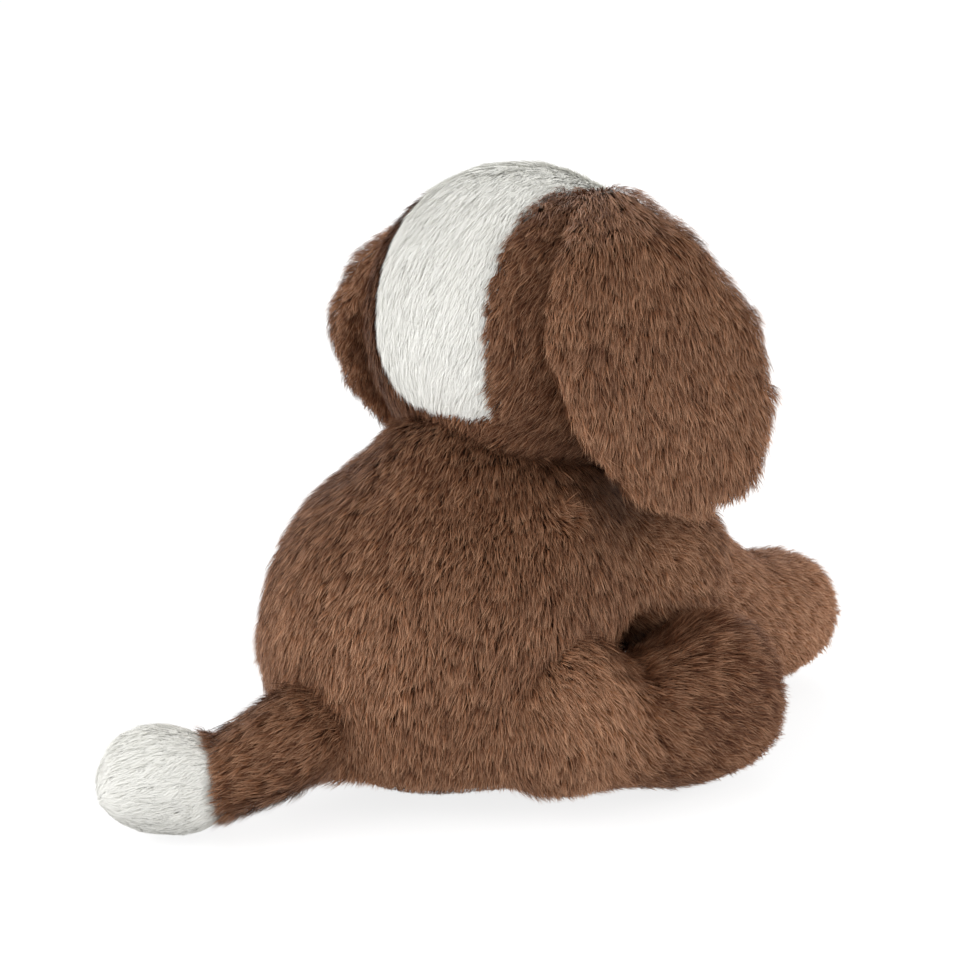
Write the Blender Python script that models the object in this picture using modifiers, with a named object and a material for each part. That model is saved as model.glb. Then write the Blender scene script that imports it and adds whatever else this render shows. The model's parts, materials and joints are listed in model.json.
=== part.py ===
"""Plush dog: a sitting puppy sewn from long-pile cloth panels over fibre stuffing.

Metres, +Z up. The dog faces -Y, its left side is +X, and its seat rests on z = 0.
Each limb turns on a ball-shaped root that sits in a dish of the trunk, so it stays joined as it moves.
"""

import math
from collections import namedtuple

import bmesh
import bpy
from mathutils import Matrix, Vector

for old in list(bpy.data.objects):
    bpy.data.objects.remove(old)

# Cloth and clearances
FIT = 0.0004  # gap between neighbouring pieces
PLUSH = 0.006  # a body panel: backing cloth and its pile
FINE_PLUSH = 0.004  # the thinner cloth of the tail, muzzle and paws

# Trunk: an egg that leans forward, flattened where it sits
TRUNK_HALF_WIDTH = 0.062
TRUNK_HALF_LENGTH = 0.065
TRUNK_HALF_HEIGHT = 0.069
TRUNK_SETTLE = 0.011  # how far the floor flattens the egg
TRUNK_LEAN = 0.011
TRUNK_FULLNESS = 0.9  # under 1 makes the egg squarer
SEAT_SEAM_HEIGHT = 0.016
POUCH_HALF_WIDTH = 0.029
POUCH_HALF_HEIGHT = 0.018

# Head: a ball with a muzzle, on the front of the trunk's top
HEAD_RADIUS = 0.050
HEAD_SINK = 0.025  # how far the ball sits in the trunk
HEAD_FORWARD = 0.039
BLAZE_HALF_WIDTH = 0.022
CHIN_SEAM_DROP = 0.036  # the chin panel starts this far under the head's centre
NECK_RING = 0.0028
NECK_RING_INNER_ANGLE = math.radians(11)
NECK_RING_OUTER_ANGLE = math.radians(22)
MUZZLE_SINK = 0.005  # how far the muzzle's middle lies inside the head
MUZZLE_DROP = 0.014
MUZZLE_HALF_WIDTH = 0.025
MUZZLE_HALF_LENGTH = 0.022
MUZZLE_HALF_HEIGHT = 0.021

# Safety eyes and nose, each with a shank through the cloth and a lock washer behind it
EYE_RADIUS = 0.0065
EYE_DOME = 0.0045
EYE_SIDE_ANGLE = math.radians(36)
EYE_RISE_ANGLE = math.radians(14)
NOSE_RADIUS = 0.009
NOSE_DOME = 0.006
NOSE_RISE_ANGLE = math.radians(24)
SHANK_RADIUS = 0.002
SHANK_PAST_WASHER = 0.001
WASHER_RADIUS = 0.0065
WASHER = 0.0014
THREAD_RADIUS = 0.0006
MOUTH_HALF_WIDTH = 0.010

# Ears: flat pads that hang from a straight seam on the head's upper side, each a little its own way
LEFT_EAR_LENGTH = 0.082
LEFT_EAR_TURN = math.radians(-8)  # the seam's front end, turned outward
LEFT_EAR_RISE = math.radians(22)  # the seam's place, up the head's side
LEFT_EAR_LAG = -0.012  # how far the ear first hangs back
LEFT_EAR_SWEEP = 0.022  # the tip's way forward
LEFT_EAR_CROWN = -0.006  # the hump over the seam
RIGHT_EAR_LENGTH = 0.102
RIGHT_EAR_TURN = math.radians(22)
RIGHT_EAR_RISE = math.radians(52)
RIGHT_EAR_LAG = 0.010
RIGHT_EAR_SWEEP = 0.026
RIGHT_EAR_CROWN = 0.002
EAR_HALF_WIDTH = 0.050
EAR_FULL_SHARE = 0.8
EAR_ROOT_HALF_WIDTH = 0.012
EAR_HALF_THICKNESS = 0.005
EAR_FLARE = 0.034
EAR_SHOULDER = 0.016  # how far the ear stands out before it falls
EAR_BLUNTNESS = 2.6

# Limbs: each bends from its root ball, towards a pull point, to its tip.
# Places are sideways and forward of the root; lifts are the tip's height past its own half height.
FORELEG_SPREAD = 0.038
FORELEG_SINK = 0.009
FORELEG_ROOT_HEIGHT = 0.068
FORELEG_ROOT_RADIUS = 0.029
FORELEG_WAIST = 0.0245
FORELEG_WAIST_SHARE = 0.35
FORELEG_PULL = (0.012, -0.044)
FORELEG_PULL_HEIGHT = 0.0235
FORELEG_TIP = (0.001, -0.103)
FORELEG_LIFT = -0.0022
FORELEG_PAW_HALF_WIDTH = 0.023
FORELEG_PAW_HALF_HEIGHT = 0.0250
FORELEG_PAW_SHARE = 0.75
HINDLEG_SINK = 0.008
HINDLEG_SETBACK = 0.006
HINDLEG_ROOT_HEIGHT = 0.0285
HINDLEG_ROOT_RADIUS = 0.026
HINDLEG_WAIST = 0.0255
HINDLEG_WAIST_SHARE = 0.4
HINDLEG_PULL = (0.016, -0.026)
HINDLEG_PULL_HEIGHT = 0.0275
HINDLEG_TIP = (0.031, -0.073)
HINDLEG_LIFT = 0.0005
HINDLEG_FOOT_HALF_WIDTH = 0.024
HINDLEG_FOOT_HALF_HEIGHT = 0.0340
HINDLEG_FOOT_SHARE = 0.8
LEG_BLUNTNESS = 4.0  # 2 rounds a limb's end like an egg, more squares it off

# Tail
TAIL_SETBACK = 0.008
TAIL_ROOT_HEIGHT = 0.029
TAIL_ROOT_RADIUS = 0.016
TAIL_WAIST = 0.0145
TAIL_WAIST_SHARE = 0.4
TAIL_PULL = (0.006, 0.025)
TAIL_PULL_HEIGHT = 0.0165
TAIL_TIP = (0.042, 0.052)
TAIL_LIFT = -0.0005
TAIL_TIP_RADIUS = 0.020
TAIL_FULL_SHARE = 0.8
TAIL_BLUNTNESS = 3.5
TAIL_TIP_SHARE = 0.50  # where along the tail the white tip starts
TAIL_RING = 0.002
TAIL_RING_INNER_ANGLE = math.radians(16)
TAIL_RING_OUTER_ANGLE = math.radians(36)

BALL_SEGMENTS, BALL_RINGS = 18, 10
BROWN = (0.165, 0.082, 0.042, 1.0)
DARK_BROWN = (0.10, 0.05, 0.028, 1.0)
WHITE = (0.80, 0.78, 0.74, 1.0)
FIBRE = (0.72, 0.70, 0.66, 1.0)
BLACK = (0.012, 0.010, 0.009, 1.0)

X_AXIS, Y_AXIS, Z_AXIS = Vector((1, 0, 0)), Vector((0, 1, 0)), Vector((0, 0, 1))

parts = bpy.data.collections.new("plush_dog")
cutters = bpy.data.collections.new("cutters")
for group in (parts, cutters):
    bpy.context.scene.collection.children.link(group)


def finish_of(name, colour, roughness):
    material = bpy.data.materials.new(name)
    material.use_nodes = True
    shader = material.node_tree.nodes["Principled BSDF"]
    shader.inputs["Base Color"].default_value = colour
    shader.inputs["Roughness"].default_value = roughness
    shader.inputs["Metallic"].default_value = 0.0
    return material


def as_part(obj, pivot, colour, roughness=0.9):
    """Makes this object a node that turns with its pivot empty."""
    obj.data.materials.append(finish_of(obj.name, colour, roughness))
    obj.parent = pivot
    obj.matrix_parent_inverse = pivot.matrix_world.inverted()
    return obj


def add_object(name, mesh, group):
    obj = bpy.data.objects.new(name, mesh)
    group.objects.link(obj)
    if group is cutters:
        obj.hide_render = True
        obj.display_type = "WIRE"
    return obj


def add_pivot(name, place):
    pivot = bpy.data.objects.new(name, None)
    pivot.location = place
    pivot.empty_display_size = 0.01
    parts.objects.link(pivot)
    bpy.context.view_layer.update()
    return pivot


def swelling_form(name, section, segments, rings, group=cutters):
    """A sphere reshaped so that the ring at each polar angle takes its centre and half sizes from section."""
    shape = bmesh.new()
    bmesh.ops.create_uvsphere(shape, u_segments=segments, v_segments=rings, radius=1)
    for vert in shape.verts:
        polar = math.acos(max(-1.0, min(1.0, -vert.co.z)))
        around = math.atan2(vert.co.y, vert.co.x)
        centre, side, up, half_width, half_height = section(polar)
        vert.co = centre + side * (half_width * math.cos(around)) + up * (half_height * math.sin(around))
    # Forms that lie inside one another split their faces the same way, so the gap between them stays even.
    bmesh.ops.triangulate(shape, faces=shape.faces[:], quad_method="FIXED")
    mesh = bpy.data.meshes.new(name)
    shape.to_mesh(mesh)
    shape.free()
    mesh.shade_smooth()
    return add_object(name, mesh, group)


def copy_of(form, name, grow=0.0, group=cutters):
    """A copy of the form, grown along its normals, or shrunk where grow is negative."""
    obj = add_object(name, form.data.copy(), group)
    if grow:
        push = obj.modifiers.new("grow", "DISPLACE")
        push.mid_level = 0.0
        push.strength = grow
    return obj


def combine(obj, other, operation):
    step = obj.modifiers.new(f"{operation.lower()} {other.name}", "BOOLEAN")
    step.operation = operation
    step.object = other
    step.solver = "EXACT"
    return obj


def cut(obj, *others):
    for other in others:
        combine(obj, other, "DIFFERENCE")
    return obj


def ball_cutter(name, centre, radius):
    """A sphere cutter whose flat facets all stay at least this radius from its centre."""
    outer = radius / (math.cos(math.pi / BALL_SEGMENTS) * math.cos(math.pi / (2 * BALL_RINGS)))
    mesh = bpy.data.meshes.new(name)
    shape = bmesh.new()
    bmesh.ops.create_uvsphere(shape, u_segments=BALL_SEGMENTS, v_segments=BALL_RINGS, radius=outer)
    shape.to_mesh(mesh)
    shape.free()
    obj = add_object(name, mesh, cutters)
    obj.location = centre
    return obj


def block_cutter(name, low, high, frame=None):
    """A box between two corners, in world axes or in the axes of the given matrix."""
    mesh = bpy.data.meshes.new(name)
    shape = bmesh.new()
    low, high = Vector(low), Vector(high)
    sides = Matrix.Diagonal((high - low).to_4d())
    sides[3][3] = 1.0
    bmesh.ops.create_cube(shape, size=1, matrix=Matrix.Translation((low + high) / 2) @ sides)
    shape.to_mesh(mesh)
    shape.free()
    obj = add_object(name, mesh, cutters)
    if frame is not None:
        obj.matrix_world = frame
    return obj


def frame_along(direction, place):
    """A matrix at place whose +Z runs along the direction."""
    turn = direction.to_track_quat("Z", "Y")
    return Matrix.Translation(place) @ turn.to_matrix().to_4x4()


def rod_cutter(name, radius, low, high, frame):
    """A cylinder along the frame's Z from low to high."""
    mesh = bpy.data.meshes.new(name)
    shape = bmesh.new()
    bmesh.ops.create_cone(
        shape, cap_ends=True, segments=16, radius1=radius, radius2=radius, depth=high - low,
        matrix=Matrix.Translation((0, 0, (low + high) / 2)),
    )
    shape.to_mesh(mesh)
    shape.free()
    obj = add_object(name, mesh, cutters)
    obj.matrix_world = frame
    return obj


def turned(name, profile, frame, steps, closed=False):
    """A profile of (radius, height) points, top to bottom down its outer side, turned about the frame's Z."""
    mesh = bpy.data.meshes.new(name)
    edges = [(i, i + 1) for i in range(len(profile) - 1)]
    if closed:
        edges.append((len(profile) - 1, 0))
    mesh.from_pydata([(radius, 0.0, height) for radius, height in profile], edges, [])
    obj = add_object(name, mesh, parts)
    obj.matrix_world = frame
    lathe = obj.modifiers.new("lathe", "SCREW")
    lathe.axis = "Z"
    lathe.steps = lathe.render_steps = steps
    lathe.use_merge_vertices = True
    lathe.merge_threshold = 0.00001
    lathe.use_smooth_shade = True
    return obj


def eased(stops, share):
    """A value that eases between the (share, value) stops."""
    for (start, first), (end, last) in zip(stops, stops[1:]):
        if share <= end:
            step = (share - start) / (end - start)
            return first + (last - first) * step * step * (3 - 2 * step)
    return stops[-1][1]


def bend_point(bend, share):
    start, middle, end = bend
    return start * (1 - share) ** 2 + middle * (2 * share * (1 - share)) + end * share**2


def bend_direction(bend, share):
    start, middle, end = bend
    return ((middle - start) * (1 - share) + (end - middle) * share).normalized()


LimbShape = namedtuple("LimbShape", "root_radius waist waist_share half_width half_height end_share bluntness")


def limb_form(name, bend, shape, inset=0.0, group=cutters):
    """A limb: a half ball about its root, then a stem along the bend that swells to a round end.

    An inset draws every side in by that much, for the inside of its cloth or its stuffing.
    """
    start, middle, end = bend
    bend = start, middle, end - (end - middle).normalized() * inset
    root_radius = shape.root_radius - inset
    stops = [(0, root_radius), (shape.waist_share, shape.waist - inset)]
    widths = stops + [(shape.end_share, shape.half_width - inset), (1, shape.half_width - inset)]
    heights = stops + [(shape.end_share, shape.half_height - inset), (1, shape.half_height - inset)]

    def section(polar):
        share = min(1.0, max(0.0, -math.cos(polar)))
        along = bend_direction(bend, share)
        side = Z_AXIS.cross(along).normalized()
        up = along.cross(side)
        if polar < math.pi / 2:
            ring = root_radius * math.sin(polar)
            return start - along * (root_radius * math.cos(polar)), side, up, ring, ring
        rounding = max(0.0, 1 - share**shape.bluntness) ** (1 / shape.bluntness)
        half_width, half_height = eased(widths, share) * rounding, eased(heights, share) * rounding
        return bend_point(bend, share), side, up, half_width, half_height

    return swelling_form(name, section, 16, 11, group)


def egg_section(centre, half_width, half_length, half_height, lean=0.0, fullness=1.0):
    def section(polar):
        height = -math.cos(polar)
        girth = math.sin(polar) ** fullness if 1e-6 < polar < math.pi - 1e-6 else 0.0
        middle = centre + Vector((0, -lean * height, half_height * height))
        return middle, X_AXIS, Y_AXIS, half_width * girth, half_length * girth

    return section


def sit_on(form, height):
    """Flattens the form's underside at this height."""
    for vert in form.data.vertices:
        vert.co.z = max(vert.co.z, height)
    return form


# Trunk form and the places of the head and limbs, shared by every piece that meets them
trunk_centre = Vector((0, 0, TRUNK_HALF_HEIGHT - TRUNK_SETTLE))
trunk_form = sit_on(
    swelling_form(
        "trunk_form",
        egg_section(
            trunk_centre, TRUNK_HALF_WIDTH, TRUNK_HALF_LENGTH, TRUNK_HALF_HEIGHT, TRUNK_LEAN, TRUNK_FULLNESS
        ),
        24,
        14,
    ),
    0.0,
)
trunk_lining = copy_of(trunk_form, "trunk_lining", -PLUSH)


def limb_bend(root, pull, pull_height, tip, tip_height, side=1):
    """The root, pull point and tip of a limb, mirrored where side is -1."""
    points = (
        Vector(root),
        Vector((root[0] + pull[0], root[1] + pull[1], pull_height)),
        Vector((root[0] + tip[0], root[1] + tip[1], tip_height)),
    )
    return [Vector((side * point.x, point.y, point.z)) for point in points]


foreleg_bends, hindleg_bends = {}, {}
for name, side in (("left", 1), ("right", -1)):
    foreleg_bends[name] = limb_bend(
        (FORELEG_SPREAD, FORELEG_SINK - TRUNK_HALF_LENGTH, FORELEG_ROOT_HEIGHT),
        FORELEG_PULL, FORELEG_PULL_HEIGHT,
        FORELEG_TIP, FORELEG_PAW_HALF_HEIGHT + FORELEG_LIFT, side,
    )
    hindleg_bends[name] = limb_bend(
        (TRUNK_HALF_WIDTH - HINDLEG_SINK, HINDLEG_SETBACK, HINDLEG_ROOT_HEIGHT),
        HINDLEG_PULL, HINDLEG_PULL_HEIGHT,
        HINDLEG_TIP, HINDLEG_FOOT_HALF_HEIGHT + HINDLEG_LIFT, side,
    )
tail_bend = limb_bend(
    (0, TRUNK_HALF_LENGTH + TAIL_SETBACK, TAIL_ROOT_HEIGHT),
    TAIL_PULL, TAIL_PULL_HEIGHT, TAIL_TIP, TAIL_TIP_RADIUS + TAIL_LIFT,
)
head_centre = trunk_centre + Vector((0, -HEAD_FORWARD, TRUNK_HALF_HEIGHT - HEAD_SINK + HEAD_RADIUS))
neck_axis = (trunk_centre - head_centre).normalized()

roots = {"tail": (tail_bend[0], TAIL_ROOT_RADIUS + TAIL_RING + FIT)}
roots["neck"] = (head_centre, HEAD_RADIUS + NECK_RING + FIT)
for name in ("left", "right"):
    roots[f"{name}_foreleg"] = (foreleg_bends[name][0], FORELEG_ROOT_RADIUS + 2 * FIT)
    roots[f"{name}_hindleg"] = (hindleg_bends[name][0], HINDLEG_ROOT_RADIUS + 2 * FIT)
dishes = {name: ball_cutter(f"{name}_dish", *place) for name, place in roots.items()}
pivots = {
    name: add_pivot(f"{name}_pivot", place)
    for name, place in {
        "trunk": Vector((0, 0, 0)), "neck": head_centre, "head": head_centre,
        "tail_root": tail_bend[0], "tail": tail_bend[0],
        "left_foreleg": foreleg_bends["left"][0], "right_foreleg": foreleg_bends["right"][0],
        "left_hindleg": hindleg_bends["left"][0], "right_hindleg": hindleg_bends["right"][0],
    }.items()
}

# Trunk cover: two back panels that meet along the spine, and the seat panel under them
REACH = 0.2  # a cutter's reach past the part it trims
seam = FIT / 2
panel_regions = {
    "back_panel_left": ((seam, -REACH, SEAT_SEAM_HEIGHT + seam), (REACH, REACH, REACH)),
    "back_panel_right": ((-REACH, -REACH, SEAT_SEAM_HEIGHT + seam), (-seam, REACH, REACH)),
    "seat_panel": ((-REACH, -REACH, -REACH), (REACH, REACH, SEAT_SEAM_HEIGHT - seam)),
}
for name, (low, high) in panel_regions.items():
    panel = copy_of(trunk_form, name, group=parts)
    combine(panel, block_cutter(f"{name}_region", low, high), "INTERSECT")
    cut(panel, trunk_lining, *dishes.values())
    as_part(panel, pivots["trunk"], DARK_BROWN if name == "seat_panel" else BROWN)

# Pellet pouch on the seat panel, and the fibre that fills the rest of the trunk
pouch_centre = Vector((0, 0, PLUSH + POUCH_HALF_HEIGHT * 0.6))
pouch_size = (POUCH_HALF_WIDTH, POUCH_HALF_WIDTH, POUCH_HALF_HEIGHT)
pouch_pocket = swelling_form("pouch_pocket", egg_section(pouch_centre, *(size + FIT for size in pouch_size)), 16, 8)
pouch = sit_on(
    swelling_form("pellet_pouch", egg_section(pouch_centre, *pouch_size), 16, 8, parts), PLUSH + FIT
)
as_part(cut(pouch, dishes["left_hindleg"], dishes["right_hindleg"]), pivots["trunk"], FIBRE)
trunk_stuffing = copy_of(trunk_form, "trunk_stuffing", -PLUSH - FIT, parts)
cut(trunk_stuffing, pouch_pocket, *dishes.values())
as_part(trunk_stuffing, pivots["trunk"], FIBRE)


def spherical_ring(name, centre, axis, ball_radius, thickness, inner_angle, outer_angle, pivot):
    """A seam ring that lies between a ball and its dish: a zone of a thin spherical shell about the axis."""
    steps = 2
    dip = math.sin(outer_angle) ** 2 * (1 - math.cos(math.pi / BALL_SEGMENTS))  # of its flat sides, to the ball
    inner_radius = (ball_radius + FIT) / (1 - dip)
    angles = [inner_angle + (outer_angle - inner_angle) * i / steps for i in range(steps + 1)]
    outside = [(ball_radius + thickness, angle) for angle in angles]
    inside = [(inner_radius, angle) for angle in reversed(angles)]
    profile = [(radius * math.sin(angle), radius * math.cos(angle)) for radius, angle in outside + inside]
    ring = turned(name, profile, frame_along(axis, centre), BALL_SEGMENTS, closed=True)
    return as_part(ring, pivot, DARK_BROWN)


spherical_ring(
    "neck_ring", head_centre, neck_axis, HEAD_RADIUS, NECK_RING,
    NECK_RING_INNER_ANGLE, NECK_RING_OUTER_ANGLE, pivots["neck"],
)

# Muzzle form, and the frames of the eyes and nose with the holes of their shanks
head_form = swelling_form(
    "head_form", egg_section(head_centre, HEAD_RADIUS, HEAD_RADIUS, HEAD_RADIUS), 20, 12
)
head_lining = copy_of(head_form, "head_lining", -PLUSH)
head_clearance = copy_of(head_form, "head_clearance", FIT)
muzzle_centre = head_centre + Vector((0, MUZZLE_SINK - HEAD_RADIUS, -MUZZLE_DROP))
muzzle_form = swelling_form(
    "muzzle_form", egg_section(muzzle_centre, MUZZLE_HALF_WIDTH, MUZZLE_HALF_LENGTH, MUZZLE_HALF_HEIGHT), 16, 10
)
muzzle_lining = copy_of(muzzle_form, "muzzle_lining", -FINE_PLUSH)
seat_gap = 2 * FIT  # under an eye's flat back, so that its rim clears the round head
eye_frames = {}
for name, side in (("left", 1), ("right", -1)):
    direction = Vector((
        side * math.sin(EYE_SIDE_ANGLE) * math.cos(EYE_RISE_ANGLE),
        -math.cos(EYE_SIDE_ANGLE) * math.cos(EYE_RISE_ANGLE),
        math.sin(EYE_RISE_ANGLE),
    ))
    eye_frames[name] = frame_along(direction, head_centre + direction * (HEAD_RADIUS + seat_gap))
nose_direction = Vector((0, -math.cos(NOSE_RISE_ANGLE), math.sin(NOSE_RISE_ANGLE)))
nose_reach = 1 / math.sqrt(
    (nose_direction.y / MUZZLE_HALF_LENGTH) ** 2 + (nose_direction.z / MUZZLE_HALF_HEIGHT) ** 2
)
nose_frame = frame_along(nose_direction, muzzle_centre + nose_direction * (nose_reach + seat_gap))


def dome_profile(radius, dome, shank_length):
    """A button: a domed front, a flat back and a shank with a round end."""
    steps = 4
    arc = [(radius * math.sin(i * math.pi / 2 / steps), dome * math.cos(i * math.pi / 2 / steps))
           for i in range(steps + 1)]
    return arc + [(SHANK_RADIUS, 0.0), (SHANK_RADIUS, -shank_length), (0.0, -shank_length)]


def washer_profile(top):
    inner = SHANK_RADIUS + FIT
    bottom = top - WASHER
    return [(inner, top), (WASHER_RADIUS, top), (WASHER_RADIUS, bottom), (inner, bottom)]


def button_with_washer(name, radius, dome, frame, cloth, cloth_radius, pivot):
    """The button, its lock washer behind the cloth, and the cutters of the shank's hole and the washer's pocket."""
    sag = WASHER_RADIUS**2 / (2 * (cloth_radius - cloth)) + cloth_radius * (1 - math.cos(math.pi / 16))
    washer_top = -seat_gap - cloth - sag - FIT
    shank_length = WASHER + SHANK_PAST_WASHER - washer_top
    as_part(turned(name, dome_profile(radius, dome, shank_length), frame, 16), pivot, BLACK, 0.15)
    as_part(turned(f"{name}_washer", washer_profile(washer_top), frame, 12, closed=True), pivot, WHITE, 0.4)
    hole = rod_cutter(f"{name}_hole", SHANK_RADIUS + FIT, -shank_length - FIT, dome, frame)
    pocket = rod_cutter(
        f"{name}_pocket", WASHER_RADIUS + FIT, washer_top - WASHER - FIT, washer_top + cloth / 2, frame
    )
    return hole, pocket


holes, pockets = {}, {}
for name, frame in eye_frames.items():
    holes[name], pockets[name] = button_with_washer(
        f"{name}_eye", EYE_RADIUS, EYE_DOME, frame, PLUSH, HEAD_RADIUS, pivots["head"]
    )
holes["nose"], pockets["nose"] = button_with_washer(
    "nose", NOSE_RADIUS, NOSE_DOME, nose_frame, FINE_PLUSH, MUZZLE_HALF_HEIGHT, pivots["head"]
)

# Head cover: a white gusset over the crown, a chin panel under it and a brown panel on each side
chin = head_centre.z - CHIN_SEAM_DROP
head_regions = {
    "head_blaze": ((-BLAZE_HALF_WIDTH, -REACH, chin + seam), (BLAZE_HALF_WIDTH, REACH, 2 * REACH), WHITE),
    "head_chin": ((-BLAZE_HALF_WIDTH, -REACH, 0), (BLAZE_HALF_WIDTH, REACH, chin - seam), BROWN),
    "head_side_left": ((BLAZE_HALF_WIDTH + FIT, -REACH, 0), (REACH, REACH, 2 * REACH), BROWN),
    "head_side_right": ((-REACH, -REACH, 0), (-BLAZE_HALF_WIDTH - FIT, REACH, 2 * REACH), BROWN),
}
for name, (low, high, colour) in head_regions.items():
    panel = copy_of(head_form, name, group=parts)
    combine(panel, block_cutter(f"{name}_region", low, high), "INTERSECT")
    cut(panel, head_lining)
    if name.startswith("head_side"):
        cut(panel, holes[name.split("_")[-1]])
    as_part(panel, pivots["head"], colour)
head_stuffing = copy_of(head_form, "head_stuffing", -PLUSH - FIT, parts)
cut(head_stuffing, *(holes[name] for name in eye_frames), *(pockets[name] for name in eye_frames))
as_part(head_stuffing, pivots["head"], FIBRE)

# Muzzle: a white cover and its stuffing, both shaped to the front of the head
muzzle_cover = copy_of(muzzle_form, "muzzle_cover", group=parts)
as_part(cut(muzzle_cover, head_clearance, muzzle_lining, holes["nose"]), pivots["head"], WHITE)
muzzle_stuffing = copy_of(muzzle_form, "muzzle_stuffing", -FINE_PLUSH - FIT, parts)
as_part(cut(muzzle_stuffing, head_clearance, holes["nose"], pockets["nose"]), pivots["head"], FIBRE)

# Mouth: one stitched thread that runs from each corner up to the middle, just off the muzzle's surface
mouth = bpy.data.curves.new("mouth_thread", "CURVE")
mouth.dimensions = "3D"
mouth.bevel_depth = THREAD_RADIUS
mouth.bevel_resolution = 1
mouth.use_fill_caps = True
line = mouth.splines.new("POLY")
MOUTH_POINTS = 13
line.points.add(MOUTH_POINTS - 1)
for i, point in enumerate(line.points):
    across = 2 * i / (MOUTH_POINTS - 1) - 1
    sideways = across * MOUTH_HALF_WIDTH / MUZZLE_HALF_WIDTH
    drop = 0.30 + 0.22 * math.sin(math.pi * abs(across))
    forward = math.sqrt(1 - sideways**2 - drop**2)
    on_cloth = Vector((
        sideways * MUZZLE_HALF_WIDTH, -forward * MUZZLE_HALF_LENGTH, -drop * MUZZLE_HALF_HEIGHT
    ))
    outward = Vector((sideways / MUZZLE_HALF_WIDTH, -forward / MUZZLE_HALF_LENGTH, -drop / MUZZLE_HALF_HEIGHT))
    place = muzzle_centre + on_cloth + outward.normalized() * (THREAD_RADIUS + FIT)
    point.co = (*place, 1.0)
as_part(add_object("mouth_thread", mouth, parts), pivots["head"], BLACK, 0.6)


def ear_pieces(name, side, length, turn, rise_angle, sweep, lag, crown):
    """The outer pad and the lining of one ear, which share the flat between them, on the seam's pivot."""
    seat = HEAD_RADIUS + EAR_HALF_THICKNESS + FIT
    across = Vector((side * math.sin(turn), -math.cos(turn), 0))
    outward = Vector((side * math.cos(turn), math.sin(turn), 0))
    root = head_centre + Vector((side * math.cos(rise_angle), 0, math.sin(rise_angle))) * seat
    pivot = add_pivot(f"{name}_ear_pivot", root)

    def place(share):
        """The ear's middle line: out over the seam, then down."""
        first, second, last = (1 - share) ** 2 * share * 3, 3 * (1 - share) * share**2, share**3
        out = EAR_SHOULDER * first + EAR_FLARE * (0.9 * second + last)
        rise = crown * first - length * (0.35 * second + last)
        return root + outward * out + across * (sweep * share**2 - lag * share) + Z_AXIS * rise

    def section(polar):
        share = min(1.0, max(0.0, -math.cos(polar)))
        along = (place(min(1.0, share + 0.01)) - place(max(0.0, share - 0.01))).normalized()
        up = across.cross(along).normalized() * side
        wide = across * -side
        if polar < math.pi / 2:
            closing = math.sin(polar)
            centre = root - along * (EAR_HALF_THICKNESS * math.cos(polar))
            return centre, wide, up, EAR_ROOT_HALF_WIDTH * math.sqrt(closing), EAR_HALF_THICKNESS * closing
        rounding = max(0.0, 1 - share**EAR_BLUNTNESS) ** (1 / EAR_BLUNTNESS)
        half_width = eased([(0, EAR_ROOT_HALF_WIDTH), (EAR_FULL_SHARE, EAR_HALF_WIDTH), (1, EAR_HALF_WIDTH)], share)
        return place(share), wide, up, half_width * rounding, EAR_HALF_THICKNESS * math.sqrt(rounding)

    for layer, face in (("outer", 1), ("lining", -1)):

        def half_section(polar, face=face):
            centre, wide, up, half_width, half_height = section(polar)
            return centre + up * (face * (half_height / 2 + FIT / 2)), wide, up, half_width, half_height / 2

        pad = swelling_form(f"{name}_ear_{layer}", half_section, 18, 10, parts)
        as_part(pad, pivot, BROWN if layer == "outer" else DARK_BROWN)
    return pivot


ear_pieces(
    "left", 1, LEFT_EAR_LENGTH, LEFT_EAR_TURN, LEFT_EAR_RISE, LEFT_EAR_SWEEP, LEFT_EAR_LAG, LEFT_EAR_CROWN
)
ear_pieces(
    "right", -1, RIGHT_EAR_LENGTH, RIGHT_EAR_TURN, RIGHT_EAR_RISE, RIGHT_EAR_SWEEP, RIGHT_EAR_LAG, RIGHT_EAR_CROWN
)


def limb_pieces(name, bend, shape, cloth):
    """A leg's cloth cover, open at its root, and the stuffing inside, both kept clear of the trunk."""
    root, pivot = bend[0], pivots[name]
    keep_out = copy_of(trunk_form, f"{name}_keep_out", FIT)
    cut(keep_out, ball_cutter(f"{name}_root_ball", root, shape.root_radius + FIT / 4))
    inward = frame_along((trunk_centre - root).normalized(), root)
    opening = rod_cutter(f"{name}_opening", shape.root_radius * 0.55, 0, 2 * shape.root_radius, inward)
    cover = limb_form(f"{name}_cover", bend, shape, group=parts)
    cut(cover, limb_form(f"{name}_lining", bend, shape, cloth), keep_out, opening)
    as_part(cover, pivot, BROWN)
    stuffing = limb_form(f"{name}_stuffing", bend, shape, cloth + FIT, parts)
    as_part(cut(stuffing, keep_out), pivot, FIBRE)


foreleg_shape = LimbShape(
    FORELEG_ROOT_RADIUS, FORELEG_WAIST, FORELEG_WAIST_SHARE,
    FORELEG_PAW_HALF_WIDTH, FORELEG_PAW_HALF_HEIGHT, FORELEG_PAW_SHARE, LEG_BLUNTNESS,
)
hindleg_shape = LimbShape(
    HINDLEG_ROOT_RADIUS, HINDLEG_WAIST, HINDLEG_WAIST_SHARE,
    HINDLEG_FOOT_HALF_WIDTH, HINDLEG_FOOT_HALF_HEIGHT, HINDLEG_FOOT_SHARE, LEG_BLUNTNESS,
)
for name in ("left", "right"):
    limb_pieces(f"{name}_foreleg", foreleg_bends[name], foreleg_shape, FINE_PLUSH)
    limb_pieces(f"{name}_hindleg", hindleg_bends[name], hindleg_shape, FINE_PLUSH)

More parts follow.
